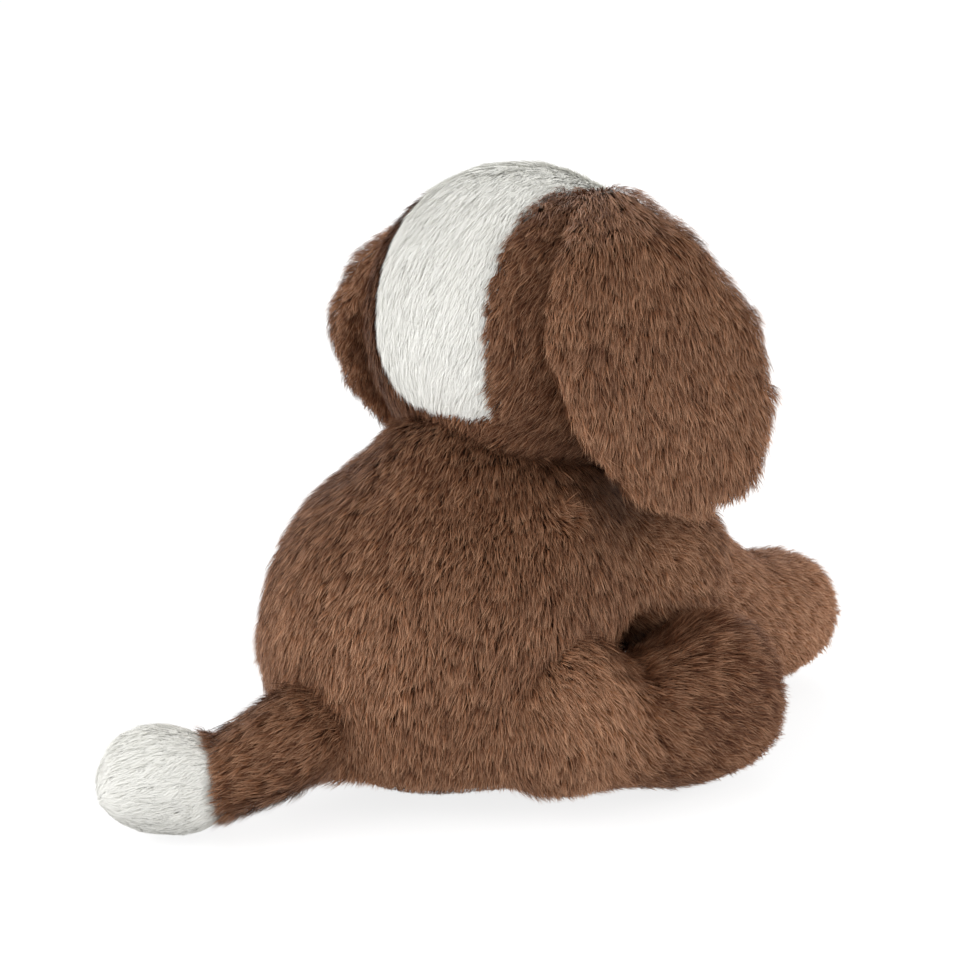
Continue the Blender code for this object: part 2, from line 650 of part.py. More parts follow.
# Tail: a brown sleeve and a white tip over one stuffing, on a seam ring that takes up the lift
tail_shape = LimbShape(
    TAIL_ROOT_RADIUS, TAIL_WAIST, TAIL_WAIST_SHARE,
    TAIL_TIP_RADIUS, TAIL_TIP_RADIUS, TAIL_FULL_SHARE, TAIL_BLUNTNESS,
)
tail_lining = limb_form("tail_lining", tail_bend, tail_shape, FINE_PLUSH)
tail_inward = Vector((0, -1, 0.25)).normalized()
tail_opening = rod_cutter(
    "tail_opening", TAIL_ROOT_RADIUS * 0.5, 0, 2 * TAIL_ROOT_RADIUS, frame_along(tail_inward, tail_bend[0])
)
tip_frame = frame_along(bend_direction(tail_bend, TAIL_TIP_SHARE), bend_point(tail_bend, TAIL_TIP_SHARE))
tip_region = block_cutter("tail_tip_region", (-REACH, -REACH, seam), (REACH, REACH, REACH), tip_frame)
sleeve_region = block_cutter("tail_sleeve_region", (-REACH, -REACH, -REACH), (REACH, REACH, -seam), tip_frame)
tail_sleeve = limb_form("tail_sleeve", tail_bend, tail_shape, group=parts)
combine(tail_sleeve, sleeve_region, "INTERSECT")
as_part(cut(tail_sleeve, tail_lining, tail_opening), pivots["tail"], BROWN)
tail_tip = limb_form("tail_tip", tail_bend, tail_shape, group=parts)
combine(tail_tip, tip_region, "INTERSECT")
as_part(cut(tail_tip, tail_lining), pivots["tail"], WHITE)
tail_stuffing = limb_form("tail_stuffing", tail_bend, tail_shape, FINE_PLUSH + FIT, parts)
as_part(tail_stuffing, pivots["tail"], FIBRE)
spherical_ring(
    "tail_ring", tail_bend[0], tail_inward, TAIL_ROOT_RADIUS, TAIL_RING,
    TAIL_RING_INNER_ANGLE, TAIL_RING_OUTER_ANGLE, pivots["tail_root"],
)
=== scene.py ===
"""Looks of the plush puppy: stuffed cloth bags under long silky pile, with a polished nose and eyes.

Metres, +Z up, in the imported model's frame: the puppy faces -Y, and its left side is +X.
"""

import json
import math

import bmesh
import bpy
import numpy as np
from mathutils import Matrix, Vector
from mathutils.bvhtree import BVHTree

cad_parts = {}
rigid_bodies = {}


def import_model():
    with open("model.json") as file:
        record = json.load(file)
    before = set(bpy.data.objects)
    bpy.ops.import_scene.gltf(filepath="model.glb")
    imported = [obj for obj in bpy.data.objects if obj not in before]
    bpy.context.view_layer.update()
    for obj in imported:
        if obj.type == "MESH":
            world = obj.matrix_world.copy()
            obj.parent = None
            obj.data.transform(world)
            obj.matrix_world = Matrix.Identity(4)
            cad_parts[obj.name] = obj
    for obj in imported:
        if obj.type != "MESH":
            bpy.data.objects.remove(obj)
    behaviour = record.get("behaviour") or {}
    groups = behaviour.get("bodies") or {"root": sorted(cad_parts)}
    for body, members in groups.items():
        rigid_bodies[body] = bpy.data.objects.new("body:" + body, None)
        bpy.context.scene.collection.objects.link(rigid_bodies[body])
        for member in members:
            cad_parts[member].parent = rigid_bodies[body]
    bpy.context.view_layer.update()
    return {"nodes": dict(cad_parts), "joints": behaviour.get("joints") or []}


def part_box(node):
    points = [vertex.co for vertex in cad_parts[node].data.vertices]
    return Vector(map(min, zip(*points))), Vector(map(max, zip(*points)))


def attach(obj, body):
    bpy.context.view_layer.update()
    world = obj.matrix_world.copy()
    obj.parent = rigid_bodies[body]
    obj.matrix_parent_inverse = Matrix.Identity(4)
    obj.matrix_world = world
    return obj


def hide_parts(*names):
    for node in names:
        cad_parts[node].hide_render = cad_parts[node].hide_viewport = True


for startup_object in list(bpy.data.objects):
    bpy.data.objects.remove(startup_object)
scene = bpy.context.scene
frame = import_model()


# Camera: a long lens behind the puppy's right side and a little above it, where the photo was taken from.
# The whole toy fills the middle of a square picture.
camera_azimuth = math.radians(223)
camera_elevation = math.radians(19)
camera_distance = 0.93
looked_at = Vector((-0.0097, -0.0089, 0.0998))
to_camera = Vector((
    math.sin(camera_azimuth) * math.cos(camera_elevation),
    -math.cos(camera_azimuth) * math.cos(camera_elevation),
    math.sin(camera_elevation),
))
camera = bpy.data.objects.new("camera", bpy.data.cameras.new("camera"))
scene.collection.objects.link(camera)
camera.data.lens = 100
camera.data.sensor_width = 36
camera.location = looked_at + to_camera * camera_distance
camera.rotation_euler = to_camera.to_track_quat("Z", "Y").to_euler()
scene.camera = camera
scene.view_settings.view_transform = "Standard"


# Studio: a white sweep of paper under the puppy, lit by three large soft boxes and the pale room.
# The paper is white to the camera and keeps a soft shadow under the toy.
def camera_sees(tree):
    """A factor that is 1 for what the camera sees directly, in a polished face or through a clear one."""
    path = tree.nodes.new("ShaderNodeLightPath")
    seen = path.outputs["Is Camera Ray"]
    for way in ("Is Glossy Ray", "Is Transmission Ray"):
        either = tree.nodes.new("ShaderNodeMath")
        either.operation = "MAXIMUM"
        tree.links.new(seen, either.inputs[0])
        tree.links.new(path.outputs[way], either.inputs[1])
        seen = either.outputs[0]
    return seen


def soft_box(name, way, watts):
    """A square soft light that stands this way from the puppy and faces it."""
    width = 0.9
    distance = 1.4
    place = looked_at + way.normalized() * distance
    lamp = bpy.data.lights.new(name, "AREA")
    lamp.size = width
    lamp.energy = watts
    holder = bpy.data.objects.new(name, lamp)
    scene.collection.objects.link(holder)
    holder.location = place
    holder.rotation_euler = (place - looked_at).to_track_quat("Z", "Y").to_euler()


paper = bpy.data.materials.new("paper_sweep")
paper.use_nodes = True
paper.node_tree.nodes.clear()
paper_seen = camera_sees(paper.node_tree)
paper_parts = {}
for part, kind, colour in (
    ("lit", "ShaderNodeBsdfDiffuse", (0.85, 0.85, 0.85, 1)),
    ("shadow", "ShaderNodeBsdfDiffuse", (0.30, 0.30, 0.30, 1)),
    ("glow", "ShaderNodeEmission", (0.82, 0.82, 0.82, 1)),
    ("both", "ShaderNodeAddShader", None),
    ("either", "ShaderNodeMixShader", None),
    ("out", "ShaderNodeOutputMaterial", None),
):
    paper_parts[part] = paper.node_tree.nodes.new(kind)
    if colour:
        paper_parts[part].inputs["Color"].default_value = colour
for source, target, socket in (
    ("shadow", "both", 0),
    ("glow", "both", 1),
    ("lit", "either", 1),
    ("both", "either", 2),
    ("either", "out", 0),
):
    paper.node_tree.links.new(paper_parts[source].outputs[0], paper_parts[target].inputs[socket])
paper.node_tree.links.new(paper_seen, paper_parts["either"].inputs["Fac"])

paper_reach = 6
paper_corners = [Vector(corner) * paper_reach for corner in ((-1, -1, 0), (1, -1, 0), (1, 1, 0), (-1, 1, 0))]
sweep_mesh = bpy.data.meshes.new("paper_sweep")
sweep_mesh.from_pydata(paper_corners, [], [(0, 1, 2, 3)])
sweep_mesh.materials.append(paper)
sweep = bpy.data.objects.new("paper_sweep", sweep_mesh)
scene.collection.objects.link(sweep)

room_strength = 0.62
white_strength = 1.0
room = bpy.data.worlds.new("pale_room")
room.use_nodes = True
scene.world = room
room_light = room.node_tree.nodes["Background"]
room_shade = room.node_tree.nodes.new("ShaderNodeMapRange")
room_shade.inputs["To Min"].default_value = room_strength
room_shade.inputs["To Max"].default_value = white_strength
room.node_tree.links.new(camera_sees(room.node_tree), room_shade.inputs["Value"])
room.node_tree.links.new(room_shade.outputs["Result"], room_light.inputs["Strength"])
room_light.inputs["Color"].default_value = (1, 1, 1, 1)

to_right = Vector((-0.731, -0.682, 0))
upward = Vector((0, 0, 1))
soft_box("left_box", to_camera * 0.6 - to_right + upward * 0.45, watts=10)
soft_box("right_box", to_camera * 0.45 + to_right + upward * 0.35, watts=8)
soft_box("far_box", upward - to_camera, watts=7)


# Trunk: the largest bag, two back panels joined along the spine and a flat seat panel under them.
# Knitted backing cloth with long brown pile, stuffed with fibre over a pouch of pellets.
# The pile falls from the nape, down the back and forward round the belly, and hides the seams of the legs.
def hinge(name):
    """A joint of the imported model, by its name."""
    return next(joint for joint in frame["joints"] if joint["name"] == name)


def joined_solids(*nodes):
    """Copies of these CAD solids in one mesh."""
    joined = bmesh.new()
    for node in nodes:
        joined.from_mesh(frame["nodes"][node].data)
    bmesh.ops.remove_doubles(joined, verts=joined.verts, dist=1e-6)
    return joined


def take_modifiers(piece):
    """Makes the result of the piece's modifiers its own plain mesh."""
    graph = bpy.context.evaluated_depsgraph_get()
    finished = bpy.data.meshes.new_from_object(piece.evaluated_get(graph))
    piece.modifiers.clear()
    piece.data = finished
    finished.name = piece.name


def cloth_points(bag):
    """The points of a bag's cloth, and the way out of the bag at each."""
    points = np.empty(len(bag.data.vertices) * 3, "f")
    outward = np.empty(len(bag.data.vertices) * 3, "f")
    bag.data.vertices.foreach_get("co", points)
    bag.data.vertex_normals.foreach_get("vector", outward)
    return points.reshape(-1, 3), outward.reshape(-1, 3)


def move_cloth(bag, points):
    """Puts the points of a bag's cloth in new places."""
    bag.data.vertices.foreach_set("co", points.ravel())
    bag.data.update()


def stuff(bag, swell):
    """Lets the stuffing press the cloth outward, by no more than the swell."""
    pressure = 20
    slackness = 0.06
    steps = 20
    lowest = 0.0005
    slack = cloth_points(bag)[0]
    filling = bag.modifiers.new("stuffing", "CLOTH")
    filling.settings.use_pressure = True
    filling.settings.uniform_pressure_force = pressure
    filling.settings.shrink_min = -slackness
    filling.settings.effector_weights.gravity = 0
    filling.collision_settings.use_collision = False
    filling.point_cache.frame_start = 1
    filling.point_cache.frame_end = steps
    for step in range(1, steps + 1):
        scene.frame_set(step)
    take_modifiers(bag)
    scene.frame_set(1)
    moved = cloth_points(bag)[0] - slack
    distance = np.linalg.norm(moved, axis=1, keepdims=True)
    settled = slack + moved * np.minimum(1, swell / np.maximum(distance, 1e-9))
    settled[:, 2] = np.maximum(settled[:, 2], lowest)
    move_cloth(bag, settled)


def sewn_bag(name, joined, cloth, grain, pile_height, swell, easing=8):
    """One closed bag of backing cloth in the place of CAD solids, drawn in to leave room for its pile."""
    mesh = bpy.data.meshes.new(name)
    joined.to_mesh(mesh)
    joined.free()
    bag = bpy.data.objects.new(name, mesh)
    scene.collection.objects.link(bag)
    remesh = bag.modifiers.new("cloth grain", "REMESH")
    remesh.mode = "VOXEL"
    remesh.voxel_size = grain
    smooth = bag.modifiers.new("smooth", "SMOOTH")
    smooth.factor = 0.5
    smooth.iterations = easing
    draw_in = bag.modifiers.new("room for pile", "DISPLACE")
    draw_in.mid_level = 0
    draw_in.strength = -pile_height - swell
    take_modifiers(bag)
    stuff(bag, swell)
    rounder = bag.modifiers.new("round", "SUBSURF")
    rounder.levels = 1
    rounder.render_levels = 1
    take_modifiers(bag)
    bag.data.materials.clear()
    bag.data.materials.append(cloth)
    bag.data.shade_smooth()
    return bag


def near(points, place, reach):
    """1 at a place on both sides of the toy, and nothing well beyond its reach."""
    mirrored = np.abs(points) * (1, 0, 0) + points * (0, 1, 1)
    return np.exp(-(np.linalg.norm(mirrored - np.array(place), axis=1) / reach) ** 2)


def at_floor(points, height):
    """1 at the floor, and nothing above a height."""
    return np.clip(1 - points[:, 2] / height, 0, 1)


def crease(points, places):
    """How deep a crease pulls the cloth in: each of its places has a reach and a depth."""
    return np.maximum.reduce([depth * near(points, place, reach) for place, reach, depth in places])


def fill_out(bag, amounts):
    """Moves each point of a bag's cloth outward by its own amount, or inward where that is below nothing."""
    points, outward = cloth_points(bag)
    move_cloth(bag, points + outward * amounts[:, None])


def tuck_under(bag, height, reach):
    """Draws the lowest edge of a bag in, as far as its pile needs to end at the floor."""
    points, outward = cloth_points(bag)
    points[:, :2] -= outward[:, :2] * at_floor(points, height)[:, None] ** 2 * reach
    move_cloth(bag, points)


def backing_cloth(name, colour):
    """Knitted backing: rows of small loops in one dyed yarn."""
    cloth = bpy.data.materials.new(name)
    cloth.use_nodes = True
    tree = cloth.node_tree
    shader = tree.nodes["Principled BSDF"]
    shader.inputs["Roughness"].default_value = 0.9
    shader.inputs["Specular IOR Level"].default_value = 0.2
    place = tree.nodes.new("ShaderNodeTexCoord")
    loops = tree.nodes.new("ShaderNodeTexWave")
    loops.inputs["Scale"].default_value = 260
    loops.inputs["Distortion"].default_value = 3
    loops.inputs["Detail"].default_value = 1
    dye = tree.nodes.new("ShaderNodeValToRGB")
    dye.color_ramp.elements[0].color = (*[shade * 0.8 for shade in colour], 1)
    dye.color_ramp.elements[1].color = (*colour, 1)
    relief = tree.nodes.new("ShaderNodeBump")
    relief.inputs["Strength"].default_value = 0.4
    relief.inputs["Distance"].default_value = 0.0004
    tree.links.new(place.outputs["Object"], loops.inputs["Vector"])
    tree.links.new(loops.outputs["Fac"], dye.inputs["Fac"])
    tree.links.new(dye.outputs["Color"], shader.inputs["Base Color"])
    tree.links.new(loops.outputs["Fac"], relief.inputs["Height"])
    tree.links.new(relief.outputs["Normal"], shader.inputs["Normal"])
    return cloth


def pointing(ways):
    """These ways, each made one unit long."""
    return ways / np.maximum(np.linalg.norm(ways, axis=1, keepdims=True), 1e-6)


def comb(bag, start, droop=0.0, patches=()):
    """Lays the pile on the cloth, away from the start and drooping a little; a patch has its own start."""
    points, outward = cloth_points(bag)
    lie = pointing(points - np.array(start))
    lie[:, 2] -= droop
    for patch_start, middle, reach in patches:
        there = np.exp(-(np.linalg.norm(points - np.array(middle), axis=1, keepdims=True) / reach) ** 2)
        lie = lie * (1 - there) + pointing(points - np.array(patch_start)) * there
    lie = pointing(lie - outward * (lie * outward).sum(axis=1, keepdims=True))
    bag.data.attributes.new("lie", "FLOAT_VECTOR", "POINT").data.foreach_set("vector", lie.ravel())


def bloom(bag, amounts):
    """Marks painted light and shade on a bag's pile: from 0, painted shade, to 1, a painted sheen on the
    tips.
    """
    painted_light_level = np.clip(np.zeros(len(bag.data.vertices)) + amounts, 0, 1).astype("f")
    bag.data.attributes.new("bloom", "FLOAT", "POINT").data.foreach_set("value", painted_light_level)


def cut_panel(bag, panel, *inside):
    """Marks a panel of the bag: how far each point is inside its nearest edge."""
    depth = np.minimum.reduce(inside).astype("f")
    bag.data.attributes.new(panel, "FLOAT", "POINT").data.foreach_set("value", depth)


def line_panel(bag, panel, cloth):
    """Gives a panel of the bag its own backing cloth."""
    bag.data.materials.append(cloth)
    depth = bag.data.attributes[panel].data
    for face in bag.data.polygons:
        if max(depth[vertex].value for vertex in face.vertices) > 0:
            face.material_index = len(bag.data.materials) - 1


def clear_of_ball(points, centre, radius):
    """How far points are outside a ball."""
    return np.linalg.norm(points - np.array(centre), axis=1) - radius


def surface_of(piece):
    """A piece's surface, in which to find the place that is nearest to a point."""
    corners = [vertex.co for vertex in piece.data.vertices]
    return BVHTree.FromPolygons(corners, [list(face.vertices) for face in piece.data.polygons])


def clear_of_bag(points, bag):
    """How far points are outside another bag, and less than nothing inside it."""
    surface = surface_of(bag)
    clear = []
    for point in points:
        nearest, outward, face, distance = surface.find_nearest(Vector(point))
        clear.append(math.copysign(distance, (Vector(point) - nearest).dot(outward)))
    return np.array(clear)


def pile_tree():
    """The node tree that grows pile: a bent strand at each root, in locks and finer wisps of one tone."""
    sweep_turn = 3.0
    strand_share = 0.42
    painted_light_share = 0.45
    tone_columns = 32
    column_share = 0.3
    map_margin = 0.02

    tree = bpy.data.node_groups.new("grow_pile", "GeometryNodeTree")
    for socket, kind in (
        ("Geometry", "Geometry"), ("Panel", "String"), ("Strand", "Object"), ("Finish", "Material"),
        ("Strands per m2", "Float"), ("Locks per m2", "Float"), ("Wisps per m2", "Float"),
        ("Length", "Float"), ("Width", "Float"), ("Lean", "Float"), ("Stand", "Float"), ("Draw", "Float"),
        ("Ruffle", "Float"), ("Stray", "Float"), ("Sweep scale", "Float"), ("Seam dip", "Float"),
        ("Seam reach", "Float"), ("Floor length", "Float"), ("Floor reach", "Float"), ("Lowest", "Float"),
        ("Seed", "Int"),
    ):
        tree.interface.new_socket(socket, in_out="INPUT", socket_type="NodeSocket" + kind)
    tree.interface.new_socket("Geometry", in_out="OUTPUT", socket_type="NodeSocketGeometry")
    given = tree.nodes.new("NodeGroupInput").outputs

    def add(kind, sockets, **settings):
        """A node with its settings made, and its sockets linked or set."""
        made = tree.nodes.new(kind)
        for setting, value in settings.items():
            setattr(made, setting, value)
        for socket, source in sockets.items():
            entry = made.inputs[socket]
            if isinstance(source, bpy.types.NodeSocket):
                tree.links.new(source, entry)
            else:
                entry.default_value = source
        return made.outputs

    def maths(operation, first, second=0.0, third=0.0):
        return add("ShaderNodeMath", {0: first, 1: second, 2: third}, operation=operation)[0]

    def vectors(operation, first, second):
        return add("ShaderNodeVectorMath", {0: first, 1: second}, operation=operation)[0]

    def scaled(vector, factor):
        return add("ShaderNodeVectorMath", {0: vector, "Scale": factor}, operation="SCALE")[0]

    def turned_about(vector, axis, angle):
        sockets = {"Vector": vector, "Axis": axis, "Angle": angle}
        return add("ShaderNodeVectorRotate", sockets, rotation_type="AXIS_ANGLE")[0]

    def rising_to_one(value, reach, low, way):
        sockets = {"Value": value, "From Min": 0.0, "From Max": reach, "To Min": low, "To Max": 1.0}
        return add("ShaderNodeMapRange", sockets, interpolation_type=way)[0]

    def own_seed(step):
        return add("FunctionNodeIntegerMath", {0: given["Seed"], 1: step}, operation="ADD")[0]

    def scatter(per_m2, step):
        return add("GeometryNodeDistributePointsOnFaces", {
            "Mesh": given["Geometry"], "Density": per_m2, "Seed": own_seed(step)})

    def nearest(scattered):
        return add("GeometryNodeSampleNearest", {"Geometry": scattered["Points"]}, domain="POINT")[0]

    def chance(low, high, step, key=None):
        """A number drawn for each strand, or for each key such as its lock."""
        made = tree.nodes.new("FunctionNodeRandomValue")
        made.data_type = "FLOAT"
        sockets = {socket.identifier: socket for socket in made.inputs}
        for socket, value in (("Min_001", low), ("Max_001", high), ("Seed", own_seed(step)), ("ID", key)):
            if isinstance(value, bpy.types.NodeSocket):
                tree.links.new(value, sockets[socket])
            elif value is not None:
                sockets[socket].default_value = value
        return next(socket for socket in made.outputs if socket.enabled)

    def named(name, kind):
        return add("GeometryNodeInputNamedAttribute", {"Name": name}, data_type=kind)[0]

    def keep(geometry, name, kind, value, domain="POINT"):
        return add("GeometryNodeStoreNamedAttribute", {"Geometry": geometry, "Name": name, "Value": value},
                   data_type=kind, domain=domain)[0]

    roots = scatter(given["Strands per m2"], 0)
    locks = scatter(given["Locks per m2"], 500)
    wisp = nearest(scatter(given["Wisps per m2"], 900))
    lock = nearest(locks)
    outward = roots["Normal"]
    place = add("GeometryNodeInputPosition", {})[0]
    spot = add("ShaderNodeSeparateXYZ", {0: place})
    depth = named(given["Panel"], "FLOAT")
    lock_place = add("GeometryNodeSampleIndex", {"Geometry": locks["Points"], "Value": place, "Index": lock},
                     data_type="FLOAT_VECTOR", domain="POINT")[0]

    sweep_noise = {"Vector": place, "Scale": given["Sweep scale"], "Detail": 1.0}
    sweep = add("ShaderNodeTexNoise", sweep_noise)["Fac"]
    sweep = maths("MULTIPLY", maths("SUBTRACT", sweep, 0.5), sweep_turn)
    turn = maths("MULTIPLY", maths("ADD", sweep, chance(-1.0, 1.0, 11, lock)), given["Ruffle"])
    turn = maths("MULTIPLY_ADD", chance(-1.0, 1.0, 12), given["Stray"], turn)
    lie = turned_about(named("lie", "FLOAT_VECTOR"), outward, turn)

    seam = rising_to_one(depth, given["Seam reach"], given["Seam dip"], "SMOOTHSTEP")
    length = maths("MULTIPLY", maths("MULTIPLY", given["Length"], seam), chance(0.72, 1.15, 13))
    floor = rising_to_one(spot[2], given["Floor reach"], given["Floor length"], "LINEAR")
    length = maths("MULTIPLY", length, floor)
    length = maths("MULTIPLY", length, chance(0.88, 1.12, 14, lock))
    drawn = scaled(vectors("SUBTRACT", lock_place, place), given["Draw"])
    reach = vectors("ADD", scaled(lie, maths("MULTIPLY", length, given["Lean"])), drawn)
    height = maths("MULTIPLY", maths("MULTIPLY", length, given["Stand"]), chance(0.7, 1.2, 15))
    roll = turned_about(outward, reach, chance(-0.4, 0.4, 16))
    turned = add("FunctionNodeAxesToRotation", {0: reach, 1: roll}, primary_axis="Y", secondary_axis="Z")[0]
    size = add("ShaderNodeCombineXYZ", {
        0: maths("MULTIPLY", given["Width"], chance(0.75, 1.25, 17)),
        1: add("ShaderNodeVectorMath", {0: reach}, operation="LENGTH")["Value"],
        2: height,
    })[0]

    strand_tone = maths("MULTIPLY", chance(0.0, 1.0, 18), strand_share)
    tone = maths("ADD", chance(-0.20, 0.00, 19, lock), strand_tone)
    # The pile's painted light and shade make the tone paler or darker by place.
    tone = maths("MULTIPLY_ADD", named("bloom", "FLOAT"), painted_light_share, tone)
    tone = maths("ADD", tone, chance(-0.14, 0.34, 20, wisp))
    tone = maths("MINIMUM", maths("MAXIMUM", tone, 0.0), 1.0)

    points = keep(roots["Points"], "tone", "FLOAT", tone)
    strand = add("GeometryNodeObjectInfo", {"Object": given["Strand"]})["Geometry"]
    grown = add("GeometryNodeInstanceOnPoints", {
        "Points": points, "Selection": maths("GREATER_THAN", depth, 0.0), "Instance": strand,
        "Rotation": turned, "Scale": size})[0]
    pile = add("GeometryNodeRealizeInstances", {"Geometry": grown})[0]
    height_kept = maths("MAXIMUM", spot[2], given["Lowest"])
    above_floor = add("ShaderNodeCombineXYZ", {0: spot[0], 1: spot[1], 2: height_kept})[0]
    pile = add("GeometryNodeSetPosition", {"Geometry": pile, "Position": above_floor})[0]

    column = maths("FLOOR", maths("MULTIPLY", named("tone", "FLOAT"), tone_columns - 0.01))
    in_column = maths("MULTIPLY_ADD", named("across", "FLOAT"), column_share, 0.5)
    across = maths("DIVIDE", maths("ADD", column, in_column), tone_columns)
    along = maths("MULTIPLY_ADD", named("along", "FLOAT"), 1 - 2 * map_margin, map_margin)
    strand_map = add("ShaderNodeCombineXYZ", {0: across, 1: along})[0]
    pile = keep(pile, "OFBake", "FLOAT2", strand_map, "CORNER")
    pile = add("GeometryNodeSetMaterial", {"Geometry": pile, "Material": given["Finish"]})[0]
    tree.links.new(pile, tree.nodes.new("NodeGroupOutput").inputs[0])
    return tree


def one_strand():
    """A strand of pile: a narrow blade that rises from its root, bends over and tapers to a point."""
    corners = [(0, 0, 0), (-0.5, 0.42, 0.85), (0.5, 0.42, 0.85), (0, 1, 1)]
    blade = bpy.data.meshes.new("strand")
    blade.from_pydata(corners, [], [(0, 2, 1), (1, 2, 3)])
    blade.attributes.new("along", "FLOAT", "POINT").data.foreach_set("value", [0, 0.5, 0.5, 1])
    blade.attributes.new("across", "FLOAT", "POINT").data.foreach_set("value", [0, -1, 1, 0])
    blade.shade_smooth()
    return bpy.data.objects.new("strand", blade)


def pile_finish(name, root, middle, tip, darkest):
    """Silky strands, darker at the root and paler at the tip (partly painted shade and highlight), dyed
    unevenly strand to strand.
    """
    finish = bpy.data.materials.new(name)
    finish.use_nodes = True
    tree = finish.node_tree
    shader = tree.nodes["Principled BSDF"]
    shader.inputs["Specular IOR Level"].default_value = 0.2
    strand_map = tree.nodes.new("ShaderNodeUVMap")
    strand_map.uv_map = "OFBake"
    split = tree.nodes.new("ShaderNodeSeparateXYZ")
    length_dye = tree.nodes.new("ShaderNodeValToRGB")
    length_dye.color_ramp.elements[0].color = (*root, 1)
    length_dye.color_ramp.elements[1].color = (*tip, 1)
    length_dye.color_ramp.elements.new(0.5).color = (*middle, 1)
    strand_dye = tree.nodes.new("ShaderNodeValToRGB")
    strand_dye.color_ramp.elements[0].color = (*darkest, 1)
    strand_dye.color_ramp.elements[1].color = (1, 1, 1, 1)
    dyed = tree.nodes.new("ShaderNodeMix")
    dyed.data_type = "RGBA"
    dyed.blend_type = "MULTIPLY"
    dyed.inputs["Factor"].default_value = 1
    silk = tree.nodes.new("ShaderNodeMapRange")
    silk.inputs["To Min"].default_value = 0.8
    silk.inputs["To Max"].default_value = 0.5
    tree.links.new(strand_map.outputs["UV"], split.inputs[0])
    tree.links.new(split.outputs["Y"], length_dye.inputs["Fac"])
    tree.links.new(split.outputs["X"], strand_dye.inputs["Fac"])
    tree.links.new(length_dye.outputs["Color"], dyed.inputs[6])
    tree.links.new(strand_dye.outputs["Color"], dyed.inputs[7])
    tree.links.new(dyed.outputs[2], shader.inputs["Base Color"])
    tree.links.new(split.outputs["Y"], silk.inputs["Value"])
    tree.links.new(silk.outputs["Result"], shader.inputs["Roughness"])
    return finish


def grow_pile(name, bag, panel, finish, body, dye_slot, seed, **changes):
    """Pile on one panel of a bag, as its own piece that moves with the bag's body."""
    settings = {
        "Panel": panel, "Strand": strand, "Finish": finish, "Seed": seed,
        "Strands per m2": 4.8e6, "Locks per m2": 1.5e5, "Wisps per m2": 7.0e5,
        "Length": 0.0088, "Width": 0.00024, "Lean": 0.85, "Stand": 0.5, "Draw": 0.35,
        "Ruffle": 0.3, "Stray": 0.25, "Sweep scale": 28.0, "Seam dip": 0.75, "Seam reach": 0.006,
        "Floor length": 0.40, "Floor reach": 0.020, "Lowest": 0.0004,
    }
    settings.update(changes)
    pile = bpy.data.objects.new(name, bag.data.copy())
    scene.collection.objects.link(pile)
    grower = pile.modifiers.new("grow pile", "NODES")
    grower.node_group = grow
    for socket in grow.interface.items_tree:
        if socket.in_out == "INPUT" and socket.name in settings:
            grower[socket.identifier] = settings[socket.name]
    take_modifiers(pile)
    for attribute in list(pile.data.attributes):
        if attribute.name in ("tone", "along", "across", "lie", "bloom") or attribute.name.endswith("panel"):
            pile.data.attributes.remove(attribute)
    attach(pile, body)


grow = pile_tree()
strand = one_strand()
brown_backing = backing_cloth("brown_backing", (0.05, 0.025, 0.014))
# The brown's dark root and pale, greyish tip are partly its dye and partly painted shade deep in the pile
# and a painted highlight.
brown_pile = pile_finish(
    "brown_pile", root=(0.10, 0.036, 0.014), middle=(0.36, 0.150, 0.067), tip=(0.95, 0.565, 0.350),
    darkest=(0.16, 0.098, 0.064))

sides = ("left", "right")
shoulder_balls = [hinge(f"{side}_foreleg_lift")["pos_m"] for side in sides]
hip_balls = [hinge(f"{side}_hindleg_splay")["pos_m"] for side in sides]
neck_ball = hinge("head_nod")["pos_m"]
tail_ball = hinge("tail_lift")["pos_m"]

trunk_nodes = ("back_panel_left", "back_panel_right", "seat_panel", "trunk_stuffing", "pellet_pouch")
trunk_form = joined_solids(*trunk_nodes[:3])
trunk_hull = bmesh.ops.convex_hull(trunk_form, input=trunk_form.verts)
left_over = {item for kind in ("geom_interior", "geom_unused", "geom_holes") for item in trunk_hull[kind]}
left_over_points = [item for item in left_over if isinstance(item, bmesh.types.BMVert)]
bmesh.ops.delete(trunk_form, geom=left_over_points, context="VERTS")
for balls, ball_radius in ((shoulder_balls, 0.030), (hip_balls, 0.025), ([tail_ball], 0.016)):
    for ball in balls:
        bmesh.ops.create_icosphere(
            trunk_form, subdivisions=3, radius=ball_radius, matrix=Matrix.Translation(ball))
trunk_bag = sewn_bag("trunk_bag", trunk_form, brown_backing,
                     grain=0.005, pile_height=0.000, swell=0.003, easing=24)
tuck_under(trunk_bag, height=0.025, reach=0.009)

hip_crease = (
    ((0.052, -0.033, 0.049), 0.012, 0.018),
    ((0.059, -0.012, 0.053), 0.008, 0.007),
    ((0.062, 0.004, 0.055), 0.008, 0.005),
    ((0.059, 0.017, 0.053), 0.008, 0.004),
    ((0.054, 0.027, 0.049), 0.008, 0.002),
)
trunk_points, trunk_outward = cloth_points(trunk_bag)
upper = np.clip((trunk_points[:, 2] - 0.06) / 0.05, 0, 1)
rear = np.clip(0.73 * np.abs(trunk_outward[:, 0]) + 0.68 * trunk_outward[:, 1], 0, 1)
pulled_in = np.maximum(0.005 * upper * rear, crease(trunk_points, hip_crease))
high_spine = 0.005 * near(trunk_points, (0, 0.006, 0.118), reach=0.016)
low_flank = 0.006 * near(trunk_points, (0.030, 0.012, 0.110), reach=0.022)
drawn_rear = 0.006 * at_floor(trunk_points, height=0.03) * np.clip(trunk_outward[:, 1], 0, 1)
fill_out(trunk_bag, high_spine - pulled_in - low_flank - drawn_rear)
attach(trunk_bag, "trunk")
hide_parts(*trunk_nodes, "neck_ring", "tail_ring")

